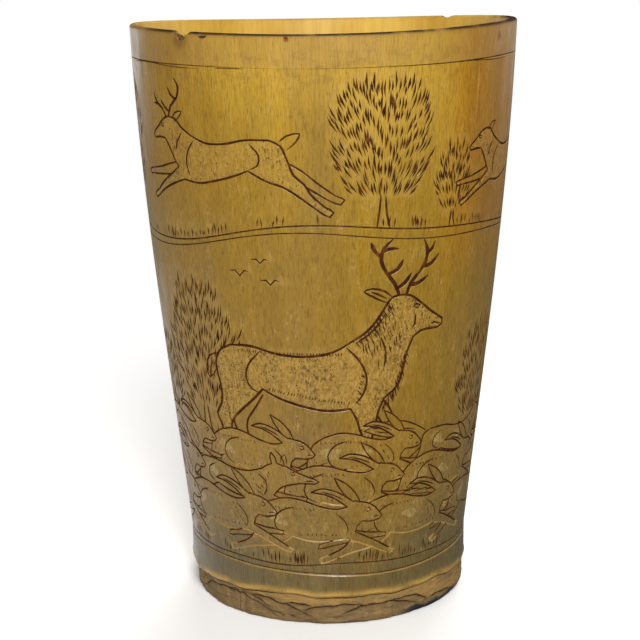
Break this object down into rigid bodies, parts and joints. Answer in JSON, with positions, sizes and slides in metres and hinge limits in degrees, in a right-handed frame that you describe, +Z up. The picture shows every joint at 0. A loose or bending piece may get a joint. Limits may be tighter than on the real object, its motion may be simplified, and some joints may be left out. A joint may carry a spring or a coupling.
{
  "type": "horn drinking cup",
  "caption": "Tapered horn drinking beaker with a snapped-in horn bottom, turned border lines and a line-engraved country scene round its side.",
  "frame": {"origin": "centre of the ring that the cup stands on, at table level", "axes": "+Z up along the cup's axis, -Y towards the viewer of the picture"},
  "size_m": [0.08, 0.08, 0.1222],
  "materials": {
    "horn": "satin polished horn, amber, darker and greyer towards the foot",
    "dark_horn": "scraped dark horn",
    "pitch": "dull black pitch",
    "line_stain": "dark brown stain rubbed into engraved lines"
  },
  "bodies": {
    "root": {"horn_wall": "horn", "bottom_disc": "dark_horn", "pitch_seal": "pitch"}
  },
  "joints": []
}
